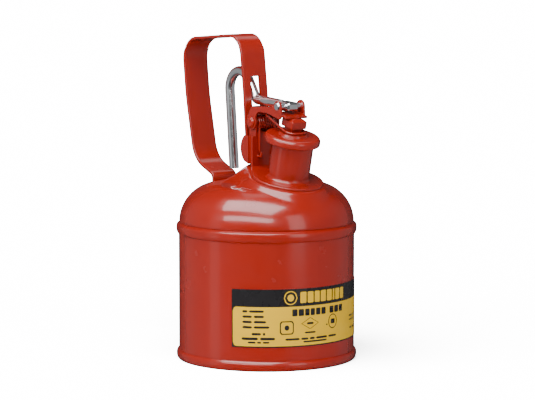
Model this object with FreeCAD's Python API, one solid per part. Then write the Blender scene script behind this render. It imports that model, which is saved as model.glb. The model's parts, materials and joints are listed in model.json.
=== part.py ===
# Safety gas can: a drawn steel can with a leaning spout, a sprung lid, a strap handle and a
# wire trigger. Millimetres. +X is the spout side, +Z is up, and the origin is the point of the
# can's axis at floor level. "Spout frame" means: x across the flange, z up the leaning neck.
import FreeCAD
import Part
import math
import os
from FreeCAD import Vector

# Sheet and body
SHEET = 1.0
BODY_R = 58.9
SEAM_R = 60.5
FOOT_H = 6.4
SEAM_LOW, SEAM_HIGH = 84.4, 92.4
BODY_LOW, BODY_HIGH = 1.4, 90.0
PAN_Z = 4.6
SHOULDER_R = 26.0
SHOULDER_END_DEG = 84.0
SIDE_SEAM_W = 5.0

# Spout frame
SPOUT_X, SPOUT_Z, SPOUT_LEAN_DEG = 24.9, 123.4, 13.5
FLANGE_R, FLANGE_T = 23.6, 1.6
TAIL_X, TAIL_R = -24.0, 11.5
NECK_R, NECK_BORE_R = 13.75, 12.75
NECK_LOW, LIP_HIGH, LIP_R = -4.0, 26.0, 15.0

# Lid, in the spout frame
LID_X, LID_R, CAP_IN = -1.4, 18.5, 16.9
GASKET_LOW, GASKET_R = 26.3, 16.6
CAP_LOW, CAP_CEILING, CAP_HIGH, STEP_HIGH, STEP_R = 24.4, 28.2, 29.7, 31.2, 10.0
BLOCK_X, BLOCK_W, BLOCK_LOW, BLOCK_SIDE_HIGH, BLOCK_HIGH = -2.0, 12.0, 35.0, 39.8, 41.2
FLOOR_T = 1.3
RIVET_R = 2.5

# Hinge and trigger pivot, in X and Z
HINGE = (-4.0, 159.0)
PIVOT = (26.4, 171.2)
HINGE_PIN_R = 2.4
TRIGGER_PIN_R = 2.0
PIN_FIT = 0.05
ARM_IN, ARM_OUT = 8.6, 10.0
EAR_IN, EAR_OUT = 6.9, 8.3

# Handle strap and trigger rod
STRAP_W, STRAP_T = 19.0, 2.0
SLOT_W, SLOT_LOW, SLOT_HIGH = 7.8, 168.6, 188.9
ROD_R = 3.175
WIRE_R = 0.8
COIL_R = 4.5
COIL_TURNS = 3
END_GAP = 0.12

# Label: a half-wrap on the front of the body
LABEL_LOW, LABEL_HIGH, LABEL_HALF_DEG, LABEL_T = 15.8, 54.2, 57.7, 0.2

Y_AXIS = Vector(0, 1, 0)
Z_AXIS = Vector(0, 0, 1)
ORIGIN = Vector(0, 0, 0)


def at(x, z, y=0.0):
    """A point given by its X and Z in the can's middle plane."""
    return Vector(x, y, z)


def to_spout(shape):
    """Carry a shape from the spout frame to the can's frame."""
    moved = shape.copy()
    moved.rotate(ORIGIN, Y_AXIS, SPOUT_LEAN_DEG)
    moved.translate(at(SPOUT_X, SPOUT_Z))
    return moved


def spout_point(x, z, y=0.0):
    """A spout-frame point in the can's frame."""
    lean = math.radians(SPOUT_LEAN_DEG)
    return at(SPOUT_X + x * math.cos(lean) + z * math.sin(lean),
              SPOUT_Z - x * math.sin(lean) + z * math.cos(lean), y)


def rounded_edges(points, radii):
    """Straight runs through points, with an arc of each given radius at the inner points."""
    edges = []
    start = points[0]
    for before, corner, after, radius in zip(points, points[1:], points[2:], radii):
        back = (before - corner).normalize()
        ahead = (after - corner).normalize()
        half = 0.5 * back.getAngle(ahead)
        reach = radius / math.tan(half)
        middle = (back + ahead).normalize()
        arc_start = corner + back * reach
        arc_end = corner + ahead * reach
        arc_mid = corner + middle * (radius / math.sin(half) - radius)
        edges.append(Part.LineSegment(start, arc_start).toShape())
        edges.append(Part.Arc(arc_start, arc_mid, arc_end).toShape())
        start = arc_end
    edges.append(Part.LineSegment(start, points[-1]).toShape())
    return edges


def tube_along(points, radii, tube_r):
    """A round bar of radius tube_r along straight runs and arcs."""
    path = Part.Wire(rounded_edges(points, radii))
    ring = Part.Wire(Part.makeCircle(tube_r, points[0], points[1] - points[0]))
    return path.makePipeShell([ring], True, True)


def ribbon(points, radii, thickness):
    """A flat strip seen edge-on in the XZ plane: a band of even thickness along the points."""
    def side(offset):
        normals = []
        for a, b in zip(points, points[1:]):
            run = (b - a).normalize()
            normals.append(Vector(-run.z, 0, run.x))
        moved = [points[0] + normals[0] * offset]
        new_radii = []
        for corner, n1, n2, radius in zip(points[1:], normals, normals[1:], radii):
            bisector = (n1 + n2).normalize()
            moved.append(corner + bisector * (offset / bisector.dot(n1)))
            turns_to_normal = n1.cross(n2).y < 0
            new_radii.append(radius - offset if turns_to_normal else radius + offset)
        moved.append(points[-1] + normals[-1] * offset)
        return rounded_edges(moved, new_radii), moved
    upper, upper_points = side(thickness / 2)
    lower, lower_points = side(-thickness / 2)
    ends = [Part.LineSegment(upper_points[i], lower_points[i]).toShape() for i in (0, -1)]
    wire = Part.Wire(Part.__sortEdges__(upper + lower + ends))
    return Part.Face(wire)


def outline(points, arcs=()):
    """A closed face in the XZ plane; arcs maps a run's index to a point that its arc goes through."""
    arcs = dict(arcs)
    edges = []
    for i, (a, b) in enumerate(zip(points, points[1:] + points[:1])):
        if i in arcs:
            edges.append(Part.Arc(at(*a), at(*arcs[i]), at(*b)).toShape())
        else:
            edges.append(Part.LineSegment(at(*a), at(*b)).toShape())
    return Part.Face(Part.Wire(edges))


def turned(points, arcs=()):
    """A round solid: the outline turned once about Z, with X as the radius."""
    return outline(points, arcs).revolve(ORIGIN, Z_AXIS, 360)


def plate(face, y_low, y_high):
    """A flat plate: an XZ face thickened from y_low to y_high."""
    low = face.copy()
    low.translate(Vector(0, y_low, 0))
    return low.extrude(Vector(0, y_high - y_low, 0))


def both_sides(shape):
    """The shape and its mirror image in the can's middle plane."""
    return [shape, shape.mirror(ORIGIN, Y_AXIS)]


def rod_across(center, radius, y_low, y_high):
    """A cylinder along Y through an (X, Z) point."""
    return Part.makeCylinder(radius, y_high - y_low, at(center[0], center[1], y_low), Y_AXIS)


def fused(shapes):
    """One solid from touching shapes, with its leftover seams removed."""
    return shapes[0].fuse(shapes[1:]).removeSplitter()


def rounded(shape, radius, keep):
    """Round every edge for which keep(edge) is true."""
    return shape.makeFillet(radius, [edge for edge in shape.Edges if keep(edge)])


# ---- Can body -------------------------------------------------------------------------------

def body_shell():
    outer = Part.makeCylinder(BODY_R, BODY_HIGH - BODY_LOW, at(0, BODY_LOW))
    return outer.cut(Part.makeCylinder(BODY_R - SHEET, BODY_HIGH - BODY_LOW, at(0, BODY_LOW)))


def side_seam():
    """Flat lap seam down the back of the body, between the two rolled seams."""
    low, high = FOOT_H + 1.0, SEAM_LOW - 1.0
    ring = Part.makeCylinder(BODY_R + 0.6, high - low, at(0, low))
    ring = ring.cut(Part.makeCylinder(BODY_R, high - low, at(0, low)))
    strip = Part.makeBox(8, SIDE_SEAM_W, high - low, Vector(-BODY_R - 4, -SIDE_SEAM_W / 2, low))
    return ring.common(strip)


def bottom_pan():
    """Recessed bottom whose rim wraps the lower edge of the body as a rolled bead."""
    inner = BODY_R - SHEET
    points = [(0, PAN_Z), (inner - 1.8, PAN_Z), (inner - 0.8, PAN_Z - 1.0), (inner - 0.8, 0.9),
              (inner + 0.1, 0), (BODY_R + 0.3, 0), (SEAM_R, 3.1), (BODY_R + 0.2, FOOT_H),
              (BODY_R, FOOT_H), (BODY_R, BODY_LOW), (inner, BODY_LOW), (inner, PAN_Z + SHEET),
              (0, PAN_Z + SHEET)]
    arcs = {3: (inner - 0.55, 0.25), 5: (SEAM_R - 0.35, 1.1), 6: (SEAM_R - 0.35, 5.2)}
    return turned(points, arcs)


def dome_profile(inset):
    """Half section of the dome, from the shoulder's foot to the crown."""
    bend_x, bend_z = BODY_R - 0.3 - SHOULDER_R, SEAM_HIGH - 0.4
    end = math.radians(SHOULDER_END_DEG)
    middle = end / 2
    radius = SHOULDER_R - inset
    blend = (bend_x + radius * math.cos(end), bend_z + radius * math.sin(end))
    crown_r = bend_x / math.cos(end) + radius
    crown_z = blend[1] + crown_r * (1 - math.sin(end))
    drop = 0.25 * (crown_z - blend[1])
    points = [(0, bend_z), (bend_x + radius, bend_z), blend, (0, crown_z)]
    arcs = {1: (bend_x + radius * math.cos(middle), bend_z + radius * math.sin(middle)),
            2: (blend[0] / 2, crown_z - drop)}
    return turned(points, arcs)


def pear(front_r, tail_x, tail_r, z):
    """Pear-shaped wire in the spout frame: a circle and a smaller tail circle with tangents."""
    lean_in = math.acos((front_r - tail_r) / -tail_x)
    turn = math.pi - lean_in
    cos_t, sin_t = math.cos(turn), math.sin(turn)
    front_top = Vector(front_r * cos_t, front_r * sin_t, z)
    front_low = Vector(front_r * cos_t, -front_r * sin_t, z)
    tail_top = Vector(tail_x + tail_r * cos_t, tail_r * sin_t, z)
    tail_low = Vector(tail_x + tail_r * cos_t, -tail_r * sin_t, z)
    return Part.Wire([
        Part.Arc(front_low, Vector(front_r, 0, z), front_top).toShape(),
        Part.LineSegment(front_top, tail_top).toShape(),
        Part.Arc(tail_top, Vector(tail_x - tail_r, 0, z), tail_low).toShape(),
        Part.LineSegment(tail_low, front_low).toShape()])


def boss(inset):
    """Raised, leaning platform under the flange, with its gentle slope to the rear."""
    top_z = -FLANGE_T - inset
    top = pear(FLANGE_R + 2.0 - inset, TAIL_X, TAIL_R + 2.2 - inset, top_z)
    foot = pear(FLANGE_R + 8.5 - inset, TAIL_X - 7.0, TAIL_R + 12.0 - inset, -17.0)
    return to_spout(Part.makeLoft([foot, top], True, True))


def dome_top():
    """Drawn top of the can, with the boss for the spout and the rolled seam at its foot."""
    outer = fused([dome_profile(0), boss(0)])
    hollow = dome_profile(SHEET).fuse(boss(SHEET))
    low_z = SEAM_HIGH - 0.4
    wall_out, wall_in = BODY_R - 0.3, BODY_R - 0.3 - SHEET
    seam = turned(
        [(BODY_R, SEAM_LOW), (BODY_R + 0.5, SEAM_LOW), (SEAM_R, SEAM_LOW + 1.5),
         (SEAM_R, SEAM_HIGH - 3.0), (SEAM_R - 0.9, SEAM_HIGH - 1.2), (wall_out, low_z),
         (wall_in, low_z), (wall_in, BODY_HIGH), (BODY_R, BODY_HIGH)],
        {1: (SEAM_R - 0.3, SEAM_LOW + 0.4), 3: (SEAM_R - 0.25, SEAM_HIGH - 1.9)})
    hole = to_spout(Part.makeCylinder(NECK_R + 0.03, 30, at(0, -20)))
    return fused([outer.cut(hollow), seam]).cut(hole)


def label():
    ring = Part.makeCylinder(BODY_R + LABEL_T, LABEL_HIGH - LABEL_LOW, at(0, LABEL_LOW), Z_AXIS,
                             2 * LABEL_HALF_DEG)
    ring = ring.cut(Part.makeCylinder(BODY_R, LABEL_HIGH - LABEL_LOW, at(0, LABEL_LOW)))
    ring.rotate(ORIGIN, Z_AXIS, -LABEL_HALF_DEG)
    return ring


# ---- Spout ----------------------------------------------------------------------------------

def spout_flange():
    flange = Part.Face(pear(FLANGE_R, TAIL_X, TAIL_R, -FLANGE_T)).extrude(at(0, FLANGE_T))
    flange = rounded(flange, 0.6, lambda e: abs(e.CenterOfMass.z) < 1e-6)
    return to_spout(flange.cut(Part.makeCylinder(NECK_R + 0.02, 10, at(0, -5))))


def spout_neck():
    """Leaning neck with its lip rolled outwards."""
    roll = 1.3
    points = [(NECK_BORE_R, NECK_LOW), (NECK_R, NECK_LOW), (NECK_R, LIP_HIGH - 2 * roll),
              (LIP_R - roll, LIP_HIGH - 2 * roll), (LIP_R - roll, LIP_HIGH),
              (NECK_BORE_R + 0.6, LIP_HIGH), (NECK_BORE_R, LIP_HIGH - 0.6)]
    return to_spout(turned(points, {3: (LIP_R, LIP_HIGH - roll),
                                    5: (NECK_BORE_R + 0.18, LIP_HIGH - 0.18)}))


def neck_weld():
    """Brazed fillet where the neck leaves the flange."""
    foot = NECK_R + 2.4
    points = [(NECK_R, 0), (foot, 0), (NECK_R, 2.6)]
    return to_spout(turned(points, {1: (NECK_R + 0.75, 0.8)}))


def arrester_collar():
    """Ring in the neck that carries the flame arrester."""
    points = [(9.2, 13.4), (NECK_BORE_R - 0.05, 13.4), (NECK_BORE_R - 0.05, 16.0), (11.6, 16.0),
              (11.6, 14.8), (9.2, 14.8)]
    return to_spout(turned(points))


def arrester_screen():
    """Wire-cloth sleeve of the flame arrester, as a thin tube that hangs in the can."""
    points = [(9.9, -52.0), (10.7, -52.0), (10.7, 13.4), (9.9, 13.4)]
    return to_spout(turned(points))


def arrester_base():
    """Pressed cup that closes the lower end of the arrester."""
    points = [(0, -53.2), (11.7, -53.2), (11.7, -48.0), (10.7, -48.0), (10.7, -52.0), (0, -52.0)]
    return to_spout(turned(points))


# ---- Lid ------------------------------------------------------------------------------------

def on_lid(shape):
    """Carry a shape from the lid's own axis to the can's frame."""
    moved = shape.copy()
    moved.translate(Vector(LID_X, 0, 0))
    return to_spout(moved)


def lid_cap():
    """Pressed cap with a rounded rim and a raised middle."""
    points = [(CAP_IN, CAP_LOW), (LID_R - 1.1, CAP_LOW), (LID_R, CAP_LOW + 1.1),
              (LID_R, CAP_HIGH - 2.6),
              (LID_R - 2.6, CAP_HIGH), (STEP_R, CAP_HIGH + 0.15), (STEP_R - 0.5, STEP_HIGH),
              (RIVET_R, STEP_HIGH), (RIVET_R, CAP_CEILING), (CAP_IN, CAP_CEILING)]
    return on_lid(turned(points, {1: (LID_R - 0.32, CAP_LOW + 0.32),
                                  3: (LID_R - 0.76, CAP_HIGH - 0.76)}))


def lid_gasket():
    return on_lid(turned([(RIVET_R, GASKET_LOW), (GASKET_R, GASKET_LOW), (GASKET_R, CAP_CEILING),
                          (RIVET_R, CAP_CEILING)]))


def gasket_retainer():
    return on_lid(turned([(RIVET_R, 25.0), (8.2, 25.0), (8.8, 25.6), (8.8, GASKET_LOW),
                          (RIVET_R, GASKET_LOW)]))


def lid_rivet():
    """Rivet that ties the retainer, gasket, cap, block and arm together."""
    floor_high = BLOCK_HIGH + FLOOR_T
    points = [(0, 23.6), (3.2, 23.9), (4.2, 24.5), (4.2, 25.0), (RIVET_R, 25.0),
              (RIVET_R, floor_high), (0, floor_high)]
    return on_lid(turned(points))


def lid_block():
    """Square block on the cap, with a narrower foot and a sloping top."""
    side = BLOCK_W / 2
    foot = Part.makeBox(8.4, 8.4, BLOCK_LOW - STEP_HIGH, Vector(BLOCK_X - 4.2, -4.2, STEP_HIGH))
    core = Part.makeBox(BLOCK_W, BLOCK_W, BLOCK_SIDE_HIGH - BLOCK_LOW,
                        Vector(BLOCK_X - side, -side, BLOCK_LOW))
    core = rounded(core, 0.7, lambda e: abs(e.Vertexes[0].Z - e.Vertexes[-1].Z) > 1)
    squares = []
    for half, z in ((side - 0.3, BLOCK_SIDE_HIGH), (side - 2.2, BLOCK_HIGH)):
        squares.append(Part.makePolygon([Vector(BLOCK_X + sx * half, sy * half, z) for sx, sy in
                                         ((-1, -1), (1, -1), (1, 1), (-1, 1), (-1, -1))]))
    top = Part.makeLoft(squares, True, True)
    bore = Part.makeCylinder(RIVET_R, 20, at(LID_X, STEP_HIGH - 1))
    return to_spout(fused([foot, core, top]).cut(bore))


def lid_arm():
    """Stamped arm over the hinge: two cheeks, a bridge between them and two ears in front."""
    hx, hz = HINGE
    px, pz = PIVOT
    low = BLOCK_HIGH
    wall_rear, wall_front = spout_point(-19.5, 39.2), spout_point(-6.0, 39.2)
    ear_r = 3.7
    points = [(hx - 5.2, hz), (hx - 4.6, hz + 3.2), (hx - 0.6, hz + 9.3), (hx + 1.2, hz + 10.4),
              (px - 7.5, pz - 0.6), (px - ear_r - 0.4, pz + 0.3), (px + ear_r, pz),
              (wall_front.x + 2.2, wall_front.z + 1.6), (wall_front.x, wall_front.z),
              (wall_rear.x, wall_rear.z), (hx + 10.0, hz + 7.3), (hx + 5.2, hz + 1.5),
              (hx + 5.2, hz - 1.0)]
    arcs = {2: (hx + 0.1, hz + 10.1), 5: (px, pz + ear_r), 10: (hx + 6.4, hz + 5.8),
            12: (hx, hz - 5.2)}
    cheek = plate(outline(points, arcs), ARM_IN, ARM_OUT)
    cheek = cheek.cut(rod_across(HINGE, HINGE_PIN_R, 0, 20))
    cheek = cheek.cut(rod_across(PIVOT, TRIGGER_PIN_R, 0, 20))
    bridge = outline([(hx + 0.1, hz + 8.0), (hx + 14.5, hz + 8.3), (hx + 14.5, hz + 9.6),
                      (hx + 0.1, hz + 9.3)])
    bridge = plate(bridge, -ARM_IN, ARM_IN)
    floor = Part.makeBox(12.5, 2 * ARM_IN, FLOOR_T, Vector(-12.5, -ARM_IN, low))
    floor = floor.cut(Part.makeCylinder(RIVET_R, 20, at(LID_X, low - 5)))
    return fused(both_sides(cheek) + [bridge, to_spout(floor)])


def trigger_pin():
    """Rivet through the two ears and the end of the trigger rod."""
    head_r, head_t = 2.9, 1.1
    profile = [(0, ARM_OUT + head_t), (head_r * 0.75, ARM_OUT + head_t * 0.75),
               (head_r, ARM_OUT + 0.1), (head_r, ARM_OUT), (TRIGGER_PIN_R, ARM_OUT),
               (TRIGGER_PIN_R, 0), (0, 0)]
    half = turned(profile)
    half.rotate(ORIGIN, Vector(1, 0, 0), -90)
    half.translate(at(*PIVOT))
    return fused(both_sides(half))


# ---- Hinge ----------------------------------------------------------------------------------

def hinge_pin():
    """Pin held in the bracket; the arm's cheeks turn on its ends, inside its heads."""
    head_r, head_t, gap = 4.0, 1.4, 0.3
    start = ARM_OUT + gap
    profile = [(0, start + head_t), (head_r * 0.7, start + head_t * 0.8), (head_r, start + 0.2),
               (head_r, start), (HINGE_PIN_R - PIN_FIT, start), (HINGE_PIN_R - PIN_FIT, EAR_OUT),
               (HINGE_PIN_R, EAR_OUT), (HINGE_PIN_R, 0), (0, 0)]
    half = turned(profile)
    half.rotate(ORIGIN, Vector(1, 0, 0), -90)
    half.translate(at(*HINGE))
    return fused(both_sides(half))


def hinge_bracket():
    """Channel on the flange's tail: a front panel, two wings round the strap and two ears."""
    hx, hz = HINGE
    front, back = hx + 3.2, hx + 1.8
    wing_in, wing_out = STRAP_W / 2 + 0.1, STRAP_W / 2 + 1.4
    wing_top, neck_top = hz - 9.4, hz - 6.6
    panel = Part.makeBox(front - back, 2 * wing_out, wing_top - 120, Vector(back, -wing_out, 120))
    collar = Part.makeBox(front - back, 2 * EAR_OUT, neck_top - wing_top,
                          Vector(back, -EAR_OUT, wing_top))
    wall = plate(outline([(back, 120), (back, wing_top), (hx - 2.6, wing_top), (hx - 2.6, 120)]),
                 wing_in - 1.3, wing_out - 1.3)
    wing = plate(outline([(hx - 2.0, wing_top), (hx - 6.5, wing_top), (hx - 6.5, hz - 26.7),
                          (hx - 2.0, hz - 28.0)], {1: (hx - 10.8, hz - 18.2)}),
                 wing_in, wing_out)
    step = plate(outline([(hx - 2.0, wing_top), (hx - 3.2, wing_top), (hx - 3.2, 120),
                          (hx - 2.0, 120)]), wing_in - 1.3, wing_out)
    ear = plate(outline([(hx - 4.4, hz), (hx - 4.4, wing_top - 1), (front, wing_top - 1),
                         (front, neck_top), (hx + 4.4, hz)], {4: (hx, hz + 4.4)}),
                EAR_IN, EAR_OUT)
    ear = ear.cut(rod_across(HINGE, HINGE_PIN_R, 0, 20))
    tab = tube_along([at(front - 0.3, hz - 23.0, 6.0), at(front + 3.5, hz - 23.0, 6.0),
                      at(front + 3.5, hz - 19.8, 6.0)], [1.2], 0.9)
    parts = [panel, collar]
    for piece in (wall, wing, step, ear, tab):
        parts += both_sides(piece)
    under = to_spout(Part.makeBox(120, 80, 60, Vector(-80, -40, -60)))
    return fused(parts).cut(under)


def lid_spring():
    """Double torsion spring: a leg down the panel, a coil and a bail over the lid, twice.

    Each run is its own closed solid, END_GAP from the next, because their ends meet at a slant.
    """
    hx, hz = HINGE
    pitch = 2 * WIRE_R + 0.12
    leg_y = -6.0
    front_x, exit_y = hx + COIL_R, leg_y + COIL_TURNS * pitch
    leg = tube_along([at(front_x, hz - 20.5, leg_y), at(front_x, hz - END_GAP, leg_y)], [], WIRE_R)
    steps = 16 * COIL_TURNS
    turns = [2 * math.pi * COIL_TURNS * i / steps for i in range(steps + 1)]
    curve = Part.BSplineCurve()
    curve.interpolate([at(hx + COIL_R * math.cos(a), hz + COIL_R * math.sin(a),
                          leg_y + pitch * a / (2 * math.pi)) for a in turns])
    ring = Part.Wire(Part.makeCircle(WIRE_R, at(front_x, hz, leg_y), Z_AXIS))
    coil = Part.Wire(curve.toShape()).makePipeShell([ring], True, True)
    side_y = -BLOCK_W / 2 - 1.2
    wire_z = STEP_HIGH + WIRE_R + 0.3
    reach = BLOCK_X + BLOCK_W / 2 + 1.2
    bail = tube_along(
        [at(front_x, hz + END_GAP, exit_y), at(front_x, hz + 5.9, exit_y),
         at(hx + 14.0, hz + 5.6, side_y), spout_point(-1.0, wire_z, side_y),
         spout_point(reach, wire_z, side_y), spout_point(reach, wire_z, 0)],
        [2.0, 6.0, 8.0, 5.0], WIRE_R)
    return Part.makeCompound(both_sides(leg) + both_sides(coil) + [fused(both_sides(bail))])


# ---- Handle and trigger ---------------------------------------------------------------------

HANDLE_POINTS = [at(-50.6, 111.6), at(-50.6, 119.6), at(-73.6, 128.8), at(-83.4, 172.0),
                 at(-88.0, 210.9), at(-18.3, 216.7), at(-13.2, 179.0), at(-9.4, 134.0)]
HANDLE_RADII = [4.5, 20.0, 150.0, 15.0, 14.0, 200.0]
ROD_POINTS = [at(31.2, 170.9), at(-11.8, 173.3), at(-24.8, 191.4), at(-44.7, 191.4),
              at(-38.5, 124.5)]
ROD_RADII = [5.0, 13.0, 12.5]


def handle_strap():
    """Flat steel loop; the trigger rod passes through the slot in its front leg."""
    strap = plate(ribbon(HANDLE_POINTS, HANDLE_RADII, STRAP_T), -STRAP_W / 2, STRAP_W / 2)
    strap = rounded(strap, 0.5, lambda e: abs(abs(e.CenterOfMass.y) - STRAP_W / 2) < 1e-6
                    and e.Length > 3)
    slot = Part.makeBox(16, SLOT_W, SLOT_HIGH - SLOT_LOW, Vector(-22, -SLOT_W / 2, SLOT_LOW))
    return strap.cut(slot)


def weld_bead(center, width, radius, others):
    """A rough round bead along Y, shaped to the pieces that it joins."""
    lumps = []
    count = int(width / radius)
    for i in range(count + 1):
        y = -width / 2 + width * i / count
        lumps.append(Part.makeSphere(radius * (1.08 if i % 2 else 0.96), at(*center, y)))
    bead = fused([rod_across(center, radius * 0.85, -width / 2, width / 2)] + lumps)
    return bead.cut(others)


def trigger_rod():
    """Bright wire trigger: flattened end on the pin, shank, elbow, inverted U and long leg."""
    px, pz = PIVOT
    rod = tube_along(ROD_POINTS, ROD_RADII, ROD_R)
    flat = Part.makeBox(12.5, 8.6, 5.2, at(px - 7.7, pz - 2.6, -4.3))
    flat = flat.makeChamfer(1.1, flat.Edges)
    tip = Part.makeBox(30, 20, 20, at(px - 9.0, pz - 10, -10))
    tilt = math.degrees(math.atan2(ROD_POINTS[1].z - ROD_POINTS[0].z,
                                   ROD_POINTS[0].x - ROD_POINTS[1].x))
    for piece in (flat, tip):
        piece.rotate(at(px, pz), Y_AXIS, tilt)
    neck = Part.makeCone(ROD_R, 2.6, 2.5, at(px - 9.4, pz), Vector(1, 0, 0))
    neck.rotate(at(px, pz), Y_AXIS, tilt)
    rod = fused([rod.cut(tip), neck, flat])
    return rod.cut(rod_across(PIVOT, TRIGGER_PIN_R + PIN_FIT, -10, 10))


def single_solid(shape):
    """The solid inside a shape's compound."""
    return max(shape.Solids, key=lambda solid: solid.Volume)


def main():
    os.makedirs("parts", exist_ok=True)
    dome = single_solid(dome_top())
    flange = spout_flange()
    strap = handle_strap()
    bracket = hinge_bracket()
    nodes = {
        "body_shell": body_shell(),
        "side_seam": side_seam(),
        "bottom_pan": bottom_pan(),
        "dome_top": dome,
        "label": label(),
        "spout_flange": flange,
        "spout_neck": spout_neck(),
        "neck_weld": neck_weld(),
        "arrester_collar": arrester_collar(),
        "arrester_screen": arrester_screen(),
        "arrester_base": arrester_base(),
        "hinge_bracket": bracket,
        "hinge_pin": hinge_pin(),
        "lid_cap": lid_cap(),
        "lid_gasket": lid_gasket(),
        "gasket_retainer": gasket_retainer(),
        "lid_rivet": lid_rivet(),
        "lid_block": lid_block(),
        "lid_arm": lid_arm(),
        "trigger_pin": trigger_pin(),
        "trigger_rod": trigger_rod(),
        "handle_strap": strap,
        "handle_weld_rear": weld_bead((-51.9, 112.3), STRAP_W - 1, 1.7, [dome, strap]),
        "handle_weld_front": weld_bead((-10.2, 132.4), STRAP_W - 3, 1.5, [flange, strap, bracket]),
    }
    pieces = {name: single_solid(shape) for name, shape in nodes.items()}
    pieces["lid_spring"] = lid_spring()
    for name, solid in pieces.items():
        box = solid.BoundBox
        solid.exportStep("parts/" + name + ".step")
        print(f"{name:18s} solids {len(solid.Solids)} valid {solid.isValid()} "
              f"volume {solid.Volume:10.1f}  X {box.XMin:7.1f} {box.XMax:7.1f}"
              f"  Y {box.YMin:6.1f} {box.YMax:6.1f}  Z {box.ZMin:6.1f} {box.ZMax:6.1f}")


main()
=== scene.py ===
import json
import math

import bmesh
import bpy
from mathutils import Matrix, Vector


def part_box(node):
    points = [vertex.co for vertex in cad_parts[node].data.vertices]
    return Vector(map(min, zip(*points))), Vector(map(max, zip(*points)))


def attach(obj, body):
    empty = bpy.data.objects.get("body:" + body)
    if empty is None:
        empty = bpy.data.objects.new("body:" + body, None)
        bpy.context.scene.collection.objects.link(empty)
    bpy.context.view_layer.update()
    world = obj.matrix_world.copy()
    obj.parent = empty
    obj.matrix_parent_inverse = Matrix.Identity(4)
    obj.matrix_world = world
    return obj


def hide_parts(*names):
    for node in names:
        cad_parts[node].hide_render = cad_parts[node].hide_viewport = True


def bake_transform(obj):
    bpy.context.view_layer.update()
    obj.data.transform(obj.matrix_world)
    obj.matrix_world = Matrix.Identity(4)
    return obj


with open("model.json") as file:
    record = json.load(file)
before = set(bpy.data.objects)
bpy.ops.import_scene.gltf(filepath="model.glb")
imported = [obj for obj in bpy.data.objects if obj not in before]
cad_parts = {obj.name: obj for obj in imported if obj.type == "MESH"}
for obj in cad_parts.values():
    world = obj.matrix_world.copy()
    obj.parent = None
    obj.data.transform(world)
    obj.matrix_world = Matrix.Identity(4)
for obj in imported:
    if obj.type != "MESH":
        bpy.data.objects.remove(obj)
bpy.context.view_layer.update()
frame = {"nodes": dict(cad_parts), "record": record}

# Everything is in metres, in the CAD frame: +X to the spout, +Z up.
MM = 0.001
BODY_OF = {node: body for body, nodes in frame["record"]["behaviour"]["bodies"].items()
           for node in nodes}
SLOT_OF = {part["node"]: part["material_slot"] for part in frame["record"]["subparts"]}
JOINT = {joint["name"]: joint for joint in frame["record"]["behaviour"]["joints"]}
HINGE = Vector(JOINT["lid_hinge"]["pos_m"])
BODY_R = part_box("body_shell")[1][0]
# The spout's own frame: its origin, and how far its axis leans forward.
SPOUT = Vector((24.9 * MM, 0, 123.4 * MM))
LEAN = math.radians(13.5)


# ---- Camera, light and world ----------------------------------------------------------------

CAMERA_AZIMUTH = 55.0
CAMERA_REACH, CAMERA_HEIGHT = 1.734, 0.309
CAMERA_TARGET = (0.0004, 0.0005, 0.1062)
CAMERA_LENS = 174.8
LIGHT_TARGET = (0, 0, 0.1)

# The world's glow rises from its middle to its side value between these two directions, each
# given as the cosine of its angle to the camera's left or right.
GLOW_STARTS, GLOW_FULL = 0.45, 0.92
GLOW_TINT = (0.94, 0.96, 0.98, 1)


def look_at(thing, target):
    """Turn a camera or light so that it faces a point."""
    thing.rotation_euler = (Vector(target) - thing.location).to_track_quat("-Z", "Y").to_euler()


def bearing(azimuth_deg, reach, height):
    """The point at that reach from the can's axis, where azimuth 0 looks along +Y."""
    a = math.radians(azimuth_deg)
    return Vector((reach * math.sin(a), -reach * math.cos(a), height))


def softbox(name, azimuth, reach, height, width, tall, watts):
    """A rectangular area light that faces the middle of the can."""
    light = bpy.data.lights.new(name, "AREA")
    light.shape = "RECTANGLE"
    light.size, light.size_y = width, tall
    light.energy = watts
    box = bpy.data.objects.new(name, light)
    box.location = bearing(azimuth, reach, height)
    look_at(box, LIGHT_TARGET)
    bpy.context.scene.collection.objects.link(box)


def white_surround(middle_glow, side_glow, backdrop):
    """A world that looks plain white behind the can, and lights it softly from two sides."""
    world = bpy.data.worlds.new("studio")
    world.use_nodes = True
    tree = world.node_tree
    across = tree.nodes.new("ShaderNodeVectorMath")
    across.operation = "DOT_PRODUCT"
    across.inputs[1].default_value = bearing(CAMERA_AZIMUTH + 90, 1, 0)
    tree.links.new(tree.nodes.new("ShaderNodeTexCoord").outputs["Generated"], across.inputs[0])
    sideways = tree.nodes.new("ShaderNodeMath")
    sideways.operation = "ABSOLUTE"
    tree.links.new(across.outputs["Value"], sideways.inputs[0])
    ranged = tree.nodes.new("ShaderNodeMapRange")
    ranged.interpolation_type = "SMOOTHSTEP"
    ranged.inputs["From Min"].default_value = GLOW_STARTS
    ranged.inputs["From Max"].default_value = GLOW_FULL
    ranged.inputs["To Min"].default_value = middle_glow
    ranged.inputs["To Max"].default_value = side_glow
    tree.links.new(sideways.outputs["Value"], ranged.inputs["Value"])
    soft = tree.nodes["Background"]
    soft.inputs["Color"].default_value = GLOW_TINT
    tree.links.new(ranged.outputs["Result"], soft.inputs["Strength"])
    white = tree.nodes.new("ShaderNodeBackground")
    white.inputs["Color"].default_value = (1, 1, 1, 1)
    white.inputs["Strength"].default_value = backdrop
    seen = tree.nodes.new("ShaderNodeLightPath")
    mix = tree.nodes.new("ShaderNodeMixShader")
    tree.links.new(seen.outputs["Is Camera Ray"], mix.inputs["Fac"])
    tree.links.new(soft.outputs["Background"], mix.inputs[1])
    tree.links.new(white.outputs["Background"], mix.inputs[2])
    tree.links.new(mix.outputs["Shader"], tree.nodes["World Output"].inputs["Surface"])
    return world


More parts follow.
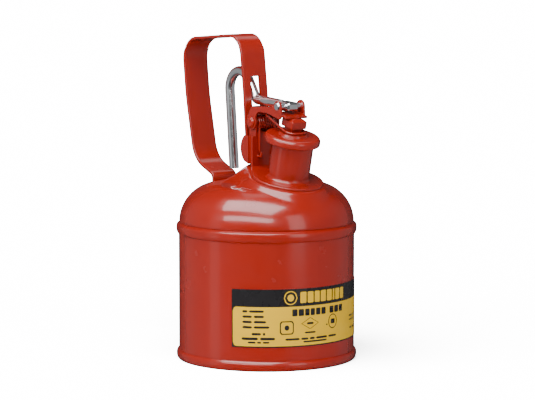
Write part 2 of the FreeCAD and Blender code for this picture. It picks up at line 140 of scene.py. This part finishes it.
camera = bpy.data.objects.new("camera", bpy.data.cameras.new("camera"))
camera.location = bearing(CAMERA_AZIMUTH, CAMERA_REACH, CAMERA_HEIGHT)
camera.data.lens = CAMERA_LENS
look_at(camera, CAMERA_TARGET)
bpy.context.scene.collection.objects.link(camera)
bpy.context.scene.camera = camera

softbox("overhead", azimuth=22, reach=0.416, height=0.959, width=1.14, tall=0.58, watts=23.0)
softbox("front_strip", azimuth=29, reach=0.846, height=0.536, width=1.16, tall=0.22, watts=8.5)
softbox("right_wall", azimuth=95, reach=1.1, height=0.38, width=0.44, tall=0.92, watts=3.0)
softbox("left_wall", azimuth=-15, reach=1.1, height=0.20, width=0.30, tall=1.1, watts=0.5)
softbox("fill", azimuth=60, reach=2.4, height=0.9, width=1.4, tall=1.0, watts=2.2)
softbox("rear_fill", azimuth=225, reach=0.75, height=1.6, width=1.0, tall=1.0, watts=4.0)

bpy.context.scene.world = white_surround(middle_glow=0.055, side_glow=0.33, backdrop=16.0)


# ---- Materials ------------------------------------------------------------------------------

RED = (0.215, 0.0068, 0.0020)
# Most of a noise pattern lies between these two values.
NOISE_LOW, NOISE_HIGH = 0.3, 0.7
# Scaling a pattern by this draws it out into lines along Z.
DRAW_LINES = (1, 1, 0.06)
WEAVE_SCALE = 420


def tone(color, factor):
    """A colour times a factor."""
    return [c * factor for c in color]


class Finish:
    """A Principled material with short calls for its procedural nodes."""

    def __init__(self, name, color, roughness, metallic=0.0, **sockets):
        self.material = bpy.data.materials.new(name)
        self.material.use_nodes = True
        self.tree = self.material.node_tree
        self.shader = self.tree.nodes["Principled BSDF"]
        self.color = color
        self.shader.inputs["Base Color"].default_value = (*color, 1)
        self.shader.inputs["Roughness"].default_value = roughness
        self.shader.inputs["Metallic"].default_value = metallic
        for socket, value in sockets.items():
            self.shader.inputs[socket.replace("_", " ")].default_value = value
        self.place = self.tree.nodes.new("ShaderNodeTexCoord").outputs["Object"]

    def link(self, source, target):
        self.tree.links.new(source, target)

    def noise(self, scale, detail, stretch=(1, 1, 1)):
        """A noise pattern in the object's own space; scale is in features per metre."""
        mapping = self.tree.nodes.new("ShaderNodeMapping")
        mapping.inputs["Scale"].default_value = stretch
        self.link(self.place, mapping.inputs["Vector"])
        noise = self.tree.nodes.new("ShaderNodeTexNoise")
        noise.inputs["Scale"].default_value = scale
        noise.inputs["Detail"].default_value = detail
        self.link(mapping.outputs["Vector"], noise.inputs["Vector"])
        return noise.outputs["Fac"]

    def vary_color(self, source, low, high):
        """Colour between low and high times the base colour, by a pattern."""
        mix = self.tree.nodes.new("ShaderNodeMix")
        mix.data_type = "RGBA"
        mix.inputs["A"].default_value = (*tone(self.color, low), 1)
        mix.inputs["B"].default_value = (*tone(self.color, high), 1)
        self.link(source, mix.inputs["Factor"])
        self.link(mix.outputs["Result"], self.shader.inputs["Base Color"])

    def vary_roughness(self, source, low, high):
        """Roughness from low to high, by a noise pattern."""
        ranged = self.tree.nodes.new("ShaderNodeMapRange")
        ranged.inputs["From Min"].default_value = NOISE_LOW
        ranged.inputs["From Max"].default_value = NOISE_HIGH
        ranged.inputs["To Min"].default_value = low
        ranged.inputs["To Max"].default_value = high
        self.link(source, ranged.inputs["Value"])
        self.link(ranged.outputs["Result"], self.shader.inputs["Roughness"])

    def bump(self, *layers):
        """Stack bump layers, each a (pattern, strength, depth in metres)."""
        normal = None
        for pattern, strength, depth in layers:
            bump = self.tree.nodes.new("ShaderNodeBump")
            bump.inputs["Strength"].default_value = strength
            bump.inputs["Distance"].default_value = depth
            self.link(pattern, bump.inputs["Height"])
            if normal:
                self.link(normal, bump.inputs["Normal"])
            normal = bump.outputs["Normal"]
        self.link(normal, self.shader.inputs["Normal"])


def enamel(name, color, peel=0.10, lump=0.0):
    """Gloss baked enamel: faint orange peel, slow changes of tone and gloss, lumps on a weld."""
    finish = Finish(name, color, roughness=0.22, Coat_Weight=0.35, Coat_Roughness=0.05,
                    Specular_IOR_Level=0.42)
    finish.vary_color(finish.noise(scale=26, detail=3), low=0.94, high=1.05)
    finish.vary_roughness(finish.noise(scale=70, detail=4), low=0.19, high=0.28)
    layers = [(finish.noise(scale=420, detail=2), peel, 0.2 * MM)]
    if lump:
        layers.append((finish.noise(scale=700, detail=3), lump, 0.6 * MM))
    finish.bump(*layers)
    return finish.material


def bright_plate(name, color, roughness):
    """Bright plated steel with fine draw lines and small cloudy patches."""
    finish = Finish(name, color, roughness, metallic=1.0)
    finish.vary_color(finish.noise(scale=180, detail=4), low=0.86, high=1.06)
    finish.vary_roughness(finish.noise(scale=260, detail=5),
                          low=roughness * 0.7, high=roughness * 1.6)
    finish.bump((finish.noise(scale=900, detail=2, stretch=DRAW_LINES), 0.06, 0.1 * MM))
    return finish.material


def satin_steel(name, color):
    """Plain sheet steel with a soft, uneven gloss."""
    finish = Finish(name, color, roughness=0.4, metallic=1.0)
    finish.vary_color(finish.noise(scale=120, detail=3), low=0.85, high=1.08)
    finish.vary_roughness(finish.noise(scale=300, detail=3), low=0.3, high=0.5)
    return finish.material


def wire_cloth(name, color):
    """Fine woven wire, as crossing waves in height, with the colour darker in the weave's
    hollows as painted shade between the wires.
    """
    finish = Finish(name, color, roughness=0.38, metallic=1.0)
    waves = []
    for direction in ("Z", "DIAGONAL"):
        wave = finish.tree.nodes.new("ShaderNodeTexWave")
        wave.bands_direction = direction
        wave.inputs["Scale"].default_value = WEAVE_SCALE
        finish.link(finish.place, wave.inputs["Vector"])
        waves.append(wave.outputs["Fac"])
    # Painted shade: the first wave darkens the colour where the weave lies low, between the
    # wires.
    finish.vary_color(waves[0], low=0.35, high=1.1)
    finish.bump(*[(wave, 0.8, 0.3 * MM) for wave in waves])
    return finish.material


def rubber(name, color):
    """Black rubber with a fine grain."""
    finish = Finish(name, color, roughness=0.7)
    finish.vary_color(finish.noise(scale=150, detail=3), low=0.7, high=1.5)
    finish.bump((finish.noise(scale=1500, detail=2), 0.25, 0.1 * MM))
    return finish.material


def film(name, color, roughness):
    """Printed label film: a faint ripple from the body under it."""
    finish = Finish(name, color, roughness, Specular_IOR_Level=0.2)
    finish.vary_color(finish.noise(scale=40, detail=2), low=0.95, high=1.03)
    finish.vary_roughness(finish.noise(scale=160, detail=2),
                          low=roughness * 0.8, high=roughness * 1.25)
    finish.bump((finish.noise(scale=300, detail=2), 0.06, 0.2 * MM))
    return finish.material


def floor_paint():
    """Pale matt floor with a very faint change of tone."""
    finish = Finish("floor_pale", (0.86, 0.86, 0.86), roughness=0.55)
    finish.vary_color(finish.noise(scale=6, detail=2), low=0.985, high=1.01)
    return finish.material


MATERIAL = {
    "red_paint": enamel("red_enamel", RED),
    "red_paint_thin": enamel("red_enamel_wire", tone(RED, 1.05), peel=0.05),
    "weld_paint": enamel("red_enamel_weld", tone(RED, 0.92), lump=0.5),
    "bright_wire": bright_plate("bright_zinc", (0.93, 0.94, 0.96), roughness=0.16),
    "bright_rivet": bright_plate("bright_rivet", (0.86, 0.87, 0.92), roughness=0.14),
    "inner_steel": satin_steel("inner_steel", (0.46, 0.46, 0.47)),
    "wire_cloth": wire_cloth("wire_cloth", (0.42, 0.42, 0.43)),
    "gasket_rubber": rubber("gasket_rubber", (0.018, 0.018, 0.02)),
    "label_film": film("label_black", (0.012, 0.011, 0.012), roughness=0.28),
}
LABEL_YELLOW = film("label_yellow", (0.56, 0.33, 0.0), roughness=0.5)

for node, slot in SLOT_OF.items():
    part = frame["nodes"][node]
    part.data.materials.clear()
    part.data.materials.append(MATERIAL[slot])


# ---- Mesh helpers ---------------------------------------------------------------------------

CREASE_ANGLE = math.radians(50)


def smooth_step(t):
    """An even ease from 0 to 1, held flat outside that range."""
    t = min(1, max(0, t))
    return t * t * (3 - 2 * t)


def shade_smooth(piece, smooth=True):
    piece.data.polygons.foreach_set("use_smooth", [smooth] * len(piece.data.polygons))


def new_piece(name, verts, faces, material, smooth=True):
    """A mesh object with its faces turned outward."""
    mesh = bpy.data.meshes.new(name)
    mesh.from_pydata([tuple(v) for v in verts], [], faces)
    mesh.materials.append(material)
    clean = bmesh.new()
    clean.from_mesh(mesh)
    bmesh.ops.recalc_face_normals(clean, faces=clean.faces)
    clean.to_mesh(mesh)
    clean.free()
    piece = bpy.data.objects.new(name, mesh)
    shade_smooth(piece, smooth)
    bpy.context.scene.collection.objects.link(piece)
    return piece


def keep(piece, node_or_body, replaced=None):
    """Put a finished piece on its body, and hide the CAD node that it stands for."""
    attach(piece, BODY_OF.get(node_or_body, node_or_body))
    if replaced:
        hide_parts(replaced)


def apply_modifiers(piece):
    """Fix a piece's modifiers into its mesh."""
    depsgraph = bpy.context.evaluated_depsgraph_get()
    mesh = bpy.data.meshes.new_from_object(piece.evaluated_get(depsgraph))
    piece.modifiers.clear()
    piece.data = mesh


def rounded_copy(node, suffix, voxel, rounds, pull):
    """A finely remeshed copy of a CAD node, smoothed so that its edges are soft."""
    piece = bpy.data.objects.new(node + suffix, frame["nodes"][node].data.copy())
    bpy.context.scene.collection.objects.link(piece)
    remesh = piece.modifiers.new("remesh", "REMESH")
    remesh.mode, remesh.voxel_size = "VOXEL", voxel
    soft = piece.modifiers.new("soft", "SMOOTH")
    soft.iterations, soft.factor = rounds, pull
    apply_modifiers(piece)
    shade_smooth(piece)
    return piece


def ring_piece(name, profile, material, turns):
    """A ring from a closed (radius, height) outline, turned once round the can's axis."""
    verts, faces = [], []
    count = len(profile)
    for i in range(turns):
        a = 2 * math.pi * i / turns
        verts += [(r * math.cos(a), r * math.sin(a), z) for r, z in profile]
        nxt = (i + 1) % turns
        for k in range(count):
            k2 = (k + 1) % count
            faces.append((i * count + k, nxt * count + k, nxt * count + k2, i * count + k2))
    return new_piece(name, verts, faces, material)


def tube_mesh(points, radius, sides):
    """Vertices and faces of a round bar through points, with capped ends."""
    verts, faces = [], []
    side = None
    for i, point in enumerate(points):
        ahead = points[min(i + 1, len(points) - 1)] - points[max(i - 1, 0)]
        ahead.normalize()
        if side is None:
            side = ahead.orthogonal().normalized()
        side = (side - ahead * side.dot(ahead)).normalized()
        other = ahead.cross(side)
        for k in range(sides):
            a = 2 * math.pi * k / sides
            verts.append(point + (side * math.cos(a) + other * math.sin(a)) * radius)
    for i in range(len(points) - 1):
        low, high = i * sides, (i + 1) * sides
        for k in range(sides):
            k2 = (k + 1) % sides
            faces.append((low + k, low + k2, high + k2, high + k))
    faces.append(tuple(range(sides)))
    faces.append(tuple(range((len(points) - 1) * sides, len(points) * sides)))
    return verts, faces


def spout_point(x, z, y=0.0):
    """A point of the spout's own frame, which leans forward by LEAN."""
    return Vector((SPOUT.x + x * math.cos(LEAN) + z * math.sin(LEAN), y,
                   SPOUT.z - x * math.sin(LEAN) + z * math.cos(LEAN)))


# ---- Dome: pressed top with its raised boss -------------------------------------------------

SEAM_LOW, SEAM_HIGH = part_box("dome_top")[0][2], 92.4 * MM
WALL_R = BODY_R - 0.3 * MM
DOME_FOOT = SEAM_HIGH - 0.4 * MM
DOME_TURNS, CROWN_STEPS, SHOULDER_STEPS = 360, 64, 52
SHEET_T = 1.0 * MM

# The shoulder is a tight bend that starts upright at the wall. It turns through SHOULDER_END
# and runs on into the flatter crown.
SHOULDER_R, SHOULDER_END = 26 * MM, math.radians(84)
# From its foot the sheet goes down inside the seam: (in from the wall, height) of each step.
FOOT_STEPS = ((0.35 * MM, DOME_FOOT), (1.1 * MM, DOME_FOOT - 0.6 * MM), (1.2 * MM, 89.0 * MM))

# The boss's top is a pear: a big circle in front and a small one at the tail. It lies BOSS_DROP
# under the spout frame's origin, and its edge is softened over BOSS_EDGE.
BOSS_FRONT_R, BOSS_TAIL, BOSS_TAIL_R = 25.6 * MM, 24.0 * MM, 13.7 * MM
BOSS_DROP, BOSS_EDGE = 1.6 * MM, 0.9 * MM
# Its side falls by FRONT_SLOPE at the front, and by SLOPE_LOSS less at the tail. The change
# starts at SLOPE_TURNS ahead of the spout's axis and takes SLOPE_RUN.
FRONT_SLOPE, SLOPE_LOSS = 2.3, 1.4
SLOPE_TURNS, SLOPE_RUN = 10 * MM, 34 * MM
# It is blended into the dome above BLEND_FLOOR, and fully so from BLEND_RISE higher.
BOSS_BLEND, BLEND_FLOOR, BLEND_RISE = 4.0 * MM, 94 * MM, 9 * MM

# A shallow dent beside the boss: its place in the plan, radius and depth.
DENT, DENT_R, DENT_DEEP = Vector((12.0 * MM, -32.5 * MM)), 4.2 * MM, 0.9 * MM

# The spout's hole, bored along the spout's axis from below the boss to above it.
HOLE_R, HOLE_LOW, HOLE_HIGH, HOLE_SIDES = 13.79 * MM, -14 * MM, 6 * MM, 128

# The seam's bead stands SEAM_PROUD of the wall, and the two powers shape its section.
SEAM_TURNS, SEAM_STEPS, SEAM_PROUD = 256, 26, 1.6 * MM
SEAM_FULL, SEAM_SOFT = 2.3, 0.62
# Its top end leans in by SEAM_LEAN_IN to the dome's foot, from SEAM_LEANS of its half height.
SEAM_LEANS, SEAM_LEAN_IN = 0.55, 1.5 * MM
# Its outer and inner corners clear the body's wall by a little, so that no faces coincide.
SEAM_GAP, SHELF_GAP = 0.02 * MM, 0.01 * MM
# Behind the bead, the ring reaches in above SEAM_SHELF and ends within the dome's sheet.
SEAM_INSIDE_R, SEAM_SHELF = WALL_R - 1.7 * MM, 90.0 * MM


def dome_section():
    """Half section of the dome as (radius, height), from the crown to the seam."""
    bend_x = WALL_R - SHOULDER_R
    blend_r = bend_x + SHOULDER_R * math.cos(SHOULDER_END)
    crown_r = bend_x / math.cos(SHOULDER_END) + SHOULDER_R
    blend_z = DOME_FOOT + SHOULDER_R * math.sin(SHOULDER_END)
    center_z = blend_z - crown_r * math.sin(SHOULDER_END)
    section = []
    for i in range(CROWN_STEPS):
        r = blend_r * i / CROWN_STEPS
        section.append((r, center_z + math.sqrt(crown_r ** 2 - r ** 2)))
    for i in range(SHOULDER_STEPS):
        a = SHOULDER_END * (1 - i / SHOULDER_STEPS)
        section.append((bend_x + SHOULDER_R * math.cos(a), DOME_FOOT + SHOULDER_R * math.sin(a)))
    return section + [(WALL_R - inset, z) for inset, z in FOOT_STEPS]


def pear_distance(x, y):
    """Distance outside the boss's pear-shaped top, in the spout frame; negative inside."""
    side, back = abs(y), -x
    sine = (BOSS_FRONT_R - BOSS_TAIL_R) / BOSS_TAIL
    cosine = math.sqrt(1 - sine * sine)
    along = back * cosine - side * sine
    if along < 0:
        return math.hypot(side, back) - BOSS_FRONT_R
    if along > cosine * BOSS_TAIL:
        return math.hypot(side, back - BOSS_TAIL) - BOSS_TAIL_R
    return side * cosine + back * sine - BOSS_FRONT_R


def boss_height(x, y):
    """Height of the leaning boss over a point of the plan: flat on top, soft at its edge."""
    ahead = x - SPOUT.x
    plane = SPOUT.z - (BOSS_DROP + ahead * math.sin(LEAN)) / math.cos(LEAN)
    across = ahead / math.cos(LEAN) + BOSS_DROP * math.tan(LEAN)
    outside = pear_distance(across, y)
    slope = FRONT_SLOPE - SLOPE_LOSS * smooth_step((SLOPE_TURNS - across) / SLOPE_RUN)
    return plane - slope * (math.sqrt(outside ** 2 + BOSS_EDGE ** 2) + outside) / 2


def drawn_height(x, y, z):
    """Height of the drawn sheet at a point of the plain dome, with boss and dent."""
    boss = boss_height(x, y)
    near_boss = max(BOSS_BLEND - abs(z - boss), 0) / BOSS_BLEND
    lift = max(0, boss - z) + near_boss ** 2 * BOSS_BLEND / 4
    from_dent = min(1, (Vector((x, y)) - DENT).length / DENT_R)
    return (z + lift * smooth_step((z - BLEND_FLOOR) / BLEND_RISE)
            - DENT_DEEP * (1 + math.cos(math.pi * from_dent)) / 2)


def dome_skin():
    """The dome and boss as one drawn sheet, blended where they meet, with the spout's hole."""
    section = dome_section()
    plain = [(0, 0, section[0][1])]
    for r, z in section[1:]:
        for i in range(DOME_TURNS):
            a = 2 * math.pi * i / DOME_TURNS
            plain.append((r * math.cos(a), r * math.sin(a), z))
    verts = [(x, y, drawn_height(x, y, z)) for x, y, z in plain]
    faces = [(0, 1 + k, 1 + (k + 1) % DOME_TURNS) for k in range(DOME_TURNS)]
    for ring in range(len(section) - 2):
        low = 1 + ring * DOME_TURNS
        high = low + DOME_TURNS
        for k in range(DOME_TURNS):
            k2 = (k + 1) % DOME_TURNS
            faces.append((low + k, high + k, high + k2, low + k2))
    piece = new_piece("dome_skin", verts, faces, MATERIAL["red_paint"])
    sheet = piece.modifiers.new("sheet", "SOLIDIFY")
    sheet.thickness, sheet.offset = SHEET_T, -1
    apply_modifiers(piece)
    bore = tube_mesh([spout_point(0, HOLE_LOW), spout_point(0, HOLE_HIGH)], HOLE_R, HOLE_SIDES)
    cutter = new_piece("cutter", *bore, MATERIAL["red_paint"])
    hole = piece.modifiers.new("hole", "BOOLEAN")
    hole.object, hole.operation, hole.solver = cutter, "DIFFERENCE", "EXACT"
    apply_modifiers(piece)
    bpy.data.objects.remove(cutter, do_unlink=True)
    shade_smooth(piece)
    piece.data.set_sharp_from_angle(angle=CREASE_ANGLE)
    keep(piece, "dome_top", "dome_top")


def dome_seam():
    """Rolled seam between dome and body: a full, soft bead that meets the sheet in a crease."""
    middle, half = (SEAM_LOW + SEAM_HIGH) / 2, (SEAM_HIGH - SEAM_LOW) / 2
    profile = []
    for i in range(SEAM_STEPS + 1):
        t = -1 + 2 * i / SEAM_STEPS
        bulge = (1 - abs(t) ** SEAM_FULL) ** SEAM_SOFT
        base = BODY_R + SEAM_GAP - SEAM_LEAN_IN * max(0, t - SEAM_LEANS) / (1 - SEAM_LEANS)
        profile.append((base + SEAM_PROUD * bulge, middle + half * t))
    profile += [(SEAM_INSIDE_R, SEAM_HIGH), (SEAM_INSIDE_R, SEAM_SHELF),
                (BODY_R + SHELF_GAP, SEAM_SHELF)]
    piece = ring_piece("dome_seam", profile, MATERIAL["red_paint"], SEAM_TURNS)
    piece.data.set_sharp_from_angle(angle=CREASE_ANGLE)
    keep(piece, "can")


# ---- Spring: one wire, with coils and legs at the hinge and the bail over the lid -----------

WIRE_R, WIRE_SIDES = 0.8 * MM, 14
COIL_R, COIL_TURNS, COIL_STEPS, COIL_GAP = 4.5 * MM, 3, 28, 0.12 * MM
LEG_Y, LEG_LENGTH, LEG_POINTS = -6 * MM, 20.5 * MM, 12

# The bail leaves the coil upright, runs forward at BAIL_Y and crosses over the lid at
# BAIL_FRONT. Its first three corners are counted from the hinge pin, the others in the spout's
# frame. BAIL_BENDS are the radii at the four corners between its ends.
BAIL_LEAVES, BAIL_TURNS = 0.4 * MM, 5.9 * MM
BAIL_SIDE_X, BAIL_SIDE_Z = 14 * MM, 5.6 * MM
BAIL_Y, BAIL_REAR, BAIL_FRONT, BAIL_Z = -7.2 * MM, -1 * MM, 5.2 * MM, 32.3 * MM
BAIL_BENDS = (2.0 * MM, 6.0 * MM, 8.0 * MM, 5.0 * MM)
BEND_STEP, BEND_MIN_STEPS = 0.6 * MM, 4


def smooth_run(corners, bends):
    """Points along straight runs whose inner corners are rounded to the given radii."""
    points = [corners[0]]
    for before, corner, after, bend in zip(corners, corners[1:], corners[2:], bends):
        back, ahead = (before - corner).normalized(), (after - corner).normalized()
        half = back.angle(ahead) / 2
        center = corner + (back + ahead).normalized() * (bend / math.sin(half))
        first = (corner + back * (bend / math.tan(half)) - center).normalized()
        last = (corner + ahead * (bend / math.tan(half)) - center).normalized()
        count = max(BEND_MIN_STEPS, int(bend * (math.pi - 2 * half) / BEND_STEP))
        for i in range(count + 1):
            points.append(center + first.slerp(last, i / count) * bend)
    points.append(corners[-1])
    return points


def lid_spring():
    """The double torsion spring as one wire: leg, coil and half the bail, and their mirror."""
    x, z = HINGE.x, HINGE.z
    front = x + COIL_R
    coil_width = (2 * WIRE_R + COIL_GAP) * COIL_TURNS
    leg = [Vector((front, LEG_Y, z - LEG_LENGTH + i * LEG_LENGTH / LEG_POINTS))
           for i in range(LEG_POINTS)]
    coil = []
    steps = COIL_STEPS * COIL_TURNS
    for i in range(steps + 1):
        a = 2 * math.pi * COIL_TURNS * i / steps
        coil.append(Vector((x + COIL_R * math.cos(a), LEG_Y + coil_width * i / steps,
                            z + COIL_R * math.sin(a))))
    bail = smooth_run([Vector((front, LEG_Y + coil_width, z + BAIL_LEAVES)),
                       Vector((front, LEG_Y + coil_width, z + BAIL_TURNS)),
                       Vector((x + BAIL_SIDE_X, BAIL_Y, z + BAIL_SIDE_Z)),
                       spout_point(BAIL_REAR, BAIL_Z, BAIL_Y),
                       spout_point(BAIL_FRONT, BAIL_Z, BAIL_Y),
                       spout_point(BAIL_FRONT, BAIL_Z)], BAIL_BENDS)
    near = leg + coil + bail
    far = [Vector((p.x, -p.y, p.z)) for p in reversed(near[:-1])]
    piece = new_piece("spring_wire", *tube_mesh(near + far, WIRE_R, WIRE_SIDES),
                      MATERIAL["red_paint_thin"])
    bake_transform(piece)
    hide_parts("lid_spring")


# ---- Welds and painted small parts ----------------------------------------------------------

WELD_VOXEL, WELD_ROUNDS, WELD_PULL = 0.22 * MM, 6, 0.6
# Two waves push a weld's surface in and out: their shares, and their radians per mm.
WELD_LUMP, LONG_SHARE, SHORT_SHARE = 0.12 * MM, 0.5, 0.3
LONG_Y, SHORT_Y, SHORT_Z = 2.9, 7.3, 5.1

PAINT_VOXEL, PAINT_PULL = 0.16 * MM, 0.5


def weld(node, phase):
    """A lumpy braze bead, made from the CAD bead."""
    piece = rounded_copy(node, "_bead", WELD_VOXEL, WELD_ROUNDS, WELD_PULL)
    for vert in piece.data.vertices:
        p = vert.co / MM
        wave = (math.sin(p.y * LONG_Y + phase) * LONG_SHARE
                + math.sin(p.y * SHORT_Y + p.z * SHORT_Z) * SHORT_SHARE)
        vert.co = vert.co + vert.normal * (WELD_LUMP * wave)
    keep(piece, node, node)


def thickly_painted(node, rounds):
    """A copy of a CAD node with its edges rounded as thick paint leaves them."""
    piece = rounded_copy(node, "_painted", PAINT_VOXEL, rounds, PAINT_PULL)
    keep(piece, node, node)


# ---- Label ----------------------------------------------------------------------------------

LABEL_LOW, LABEL_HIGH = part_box("label")[0][2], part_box("label")[1][2]
LABEL_HALF = math.radians(57.7)
LABEL_FACE = 59.1 * MM
BORDER, PANEL_CORNER = 0.8 * MM, 2.6 * MM
BAND_LOW = LABEL_HIGH - 11.6 * MM
BAND_MIDDLE = (BAND_LOW + LABEL_HIGH) / 2
# Each layer of ink lies on the one before, and the first a hair over the film.
INK_T, INK_LIFT = 0.035 * MM, 0.01 * MM
INK_STEP, INK_MIN_STEPS = math.radians(0.8), 8
# A bar's corner is this share of its height, up to a limit. An oval's ends keep a little height.
BAR_CORNER, BAR_CORNER_MAX = 0.3, 0.45 * MM
OVAL_END = 1e-4

# The layout. Angles are in degrees round the can from the spout's side. Other sizes are in mm,
# and a drop is counted down from the black band's lower edge.
# The band's ring: its angle, and the radii of its disc, its hole and the dot in it.
MARK_AT, MARK_RADII = -19.5, (4.6, 3.9, 2.3)
# The band's blocks: left end, height, lengths and gap.
BAND_BLOCKS = (-13.0, 7.4, (4.2, 4.2, 3.8, 4.2, 4.4, 1.6, 4.2, 3.8), 0.95)
# Rows of bars on the panel: left end, drop of their foot, height, lengths and gap.
WORD_GAP = 1.1
BAR_ROWS = (
    (-18.5, 6.4, 4.6, (3.5, 3.7, 3.2, 3.2, 3.4, 3.6), 0.8),
    (9.5, 6.4, 4.6, (3.8, 3.9, 3.9), 0.8),
    (-50.5, 3.6, 1.5, (3.2, 9.5), WORD_GAP),
    (-50.5, 7.1, 1.5, (6.2, 6.6), WORD_GAP),
    (-50.5, 10.6, 1.5, (6.2, 8.0), WORD_GAP),
    (-50.5, 14.1, 1.5, (6.2, 10.0), WORD_GAP),
    (-44.5, 18.6, 1.6, (6.0, 1.6), WORD_GAP),
    (-51.0, 21.8, 1.7, (10.5, 9.5), 1.4),
    (-47.0, 24.0, 1.2, (5.0, 2.4, 4.2), WORD_GAP),
    (-23.0, 22.3, 1.4, (9.5, 5.0, 3.6, 9.0, 7.5), WORD_GAP),
    (-11.0, 24.2, 1.1, (18.0,), WORD_GAP),
    (33.0, 12.0, 1.3, (7.0, 5.5), WORD_GAP),
    (33.0, 14.6, 1.1, (12.0,), WORD_GAP),
    (34.0, 20.2, 1.3, (5.0, 8.0), WORD_GAP),
    (-10.0, 18.2, 1.1, (8.0,), WORD_GAP),
    (6.5, 14.2, 1.0, (1.4,), WORD_GAP),
)
# Boxes: left end, right end, drop of the foot, drop of the top and corner.
FRAME_BOX = (-26.6, -17.4, 18.4, 9.4, 1.6)
FRAME_HOLE = (-25.8, -18.2, 17.6, 10.2, 1.1)
DOT_BOXES = ((-8.4, -3.6, 12.3, 10.9, 0.3), (10.6, 14.4, 13.6, 10.4, 0.3))
# Ovals: angle, drop of the middle, half width, half height and power.
OVALS = ((-6.0, 11.6, 6.6, 4.0, 1.0), (12.5, 12.0, 4.4, 4.9, 2.0))
OVAL_HOLES = ((-6.0, 11.6, 5.9, 3.5, 1.0), (12.5, 12.0, 3.7, 4.2, 2.0))
DOT_OVAL = (-22.0, 13.9, 1.7, 1.7, 2.0)


def printed(name, shapes, layer, material):
    """Flat shapes wrapped on the label. Each is (left angle, right angle, low(t), high(t))."""
    verts, faces = [], []
    inner = LABEL_FACE + INK_T * (layer - 1) + INK_LIFT
    outer = LABEL_FACE + INK_T * layer + INK_LIFT
    for left, right, low, high in shapes:
        columns = max(INK_MIN_STEPS, int(abs(right - left) / INK_STEP))
        base = len(verts)
        for i in range(columns + 1):
            t = i / columns
            a = left + (right - left) * t
            for r in (inner, outer):
                for z in (low(t), high(t)):
                    verts.append((r * math.cos(a), r * math.sin(a), z))
        for i in range(columns):
            a, b = base + 4 * i, base + 4 * (i + 1)
            for p, q in ((0, 1), (1, 3), (3, 2), (2, 0)):
                faces.append((a + p, a + q, b + q, b + p))
        for end in (base, base + 4 * columns):
            faces.append((end, end + 1, end + 3, end + 2))
    keep(new_piece(name, verts, faces, material, smooth=False), "label")


def block(left_deg, right_deg, low, high, corner):
    """A rounded rectangle for printed()."""
    left, right = math.radians(left_deg), math.radians(right_deg)
    width = (right - left) * LABEL_FACE
    corner = min(corner, (high - low) / 2, width / 2)

    def inset(t):
        edge = min(t, 1 - t) * width
        if edge >= corner:
            return 0
        return corner - math.sqrt(max(corner ** 2 - (corner - edge) ** 2, 0))
    return left, right, lambda t: low + inset(t), lambda t: high - inset(t)


def oval(center_deg, center_z, half_width, half_height, power=2.0):
    """An ellipse, or a diamond at power 1, for printed()."""
    half = half_width / LABEL_FACE
    a = math.radians(center_deg)

    def reach(t):
        return half_height * max(1 - abs(2 * t - 1) ** power, OVAL_END) ** (1 / power)
    return a - half, a + half, lambda t: center_z - reach(t), lambda t: center_z + reach(t)


def bars(left_deg, z, height, lengths_deg, gap_deg):
    """A row of short bars that stand for words."""
    row, at = [], left_deg
    for length in lengths_deg:
        corner = min(height * BAR_CORNER, BAR_CORNER_MAX)
        row.append(block(at, at + length, z, z + height, corner))
        at += length + gap_deg
    return row


def panel_bars(left, drop, height, lengths, gap):
    return bars(left, BAND_LOW - drop * MM, height * MM, lengths, gap)


def panel_box(left, right, foot, top, corner):
    return block(left, right, BAND_LOW - foot * MM, BAND_LOW - top * MM, corner * MM)


def panel_oval(center, drop, half_width, half_height, power):
    return oval(center, BAND_LOW - drop * MM, half_width * MM, half_height * MM, power)


def label_print():
    """All that is printed on the black film: the yellow panel, the band's shapes, black ink."""
    yellow, black = LABEL_YELLOW, MATERIAL["label_film"]
    edge = math.degrees(LABEL_HALF - BORDER / LABEL_FACE)
    panel = block(-edge, edge, LABEL_LOW + BORDER, BAND_LOW, PANEL_CORNER)
    printed("label_panel", [panel], 1, yellow)

    disc, disc_hole, dot = [oval(MARK_AT, BAND_MIDDLE, r * MM, r * MM) for r in MARK_RADII]
    left, height, lengths, gap = BAND_BLOCKS
    blocks = bars(left, BAND_MIDDLE - height / 2 * MM, height * MM, lengths, gap)
    printed("label_band_print", [disc] + blocks, 1, yellow)
    printed("label_mark_ring", [disc_hole], 2, black)
    printed("label_mark_dot", [dot], 3, yellow)

    ink = [bar for row in BAR_ROWS for bar in panel_bars(*row)]
    ink += [panel_box(*FRAME_BOX)] + [panel_oval(*row) for row in OVALS]
    holes = [panel_box(*FRAME_HOLE)] + [panel_oval(*row) for row in OVAL_HOLES]
    dots = [panel_oval(*DOT_OVAL)] + [panel_box(*row) for row in DOT_BOXES]
    printed("label_ink", ink, 2, black)
    printed("label_ink_holes", holes, 3, yellow)
    printed("label_ink_dots", dots, 4, black)


# ---- Put it together ------------------------------------------------------------------------

dome_skin()
dome_seam()
lid_spring()
weld("handle_weld_rear", phase=0.4)
weld("handle_weld_front", phase=1.9)
thickly_painted("hinge_bracket", rounds=5)
thickly_painted("lid_arm", rounds=5)
thickly_painted("lid_block", rounds=8)
label_print()

# The floor catches only the can's shadow, and isn't seen in its reflections.
FLOOR_HALF = 3
CORNERS = ((-1, -1), (1, -1), (1, 1), (-1, 1))
floor = new_piece("floor", [(x * FLOOR_HALF, y * FLOOR_HALF, 0) for x, y in CORNERS],
                  [(0, 1, 2, 3)], floor_paint(), smooth=False)
floor.is_shadow_catcher = True
floor.visible_glossy = False
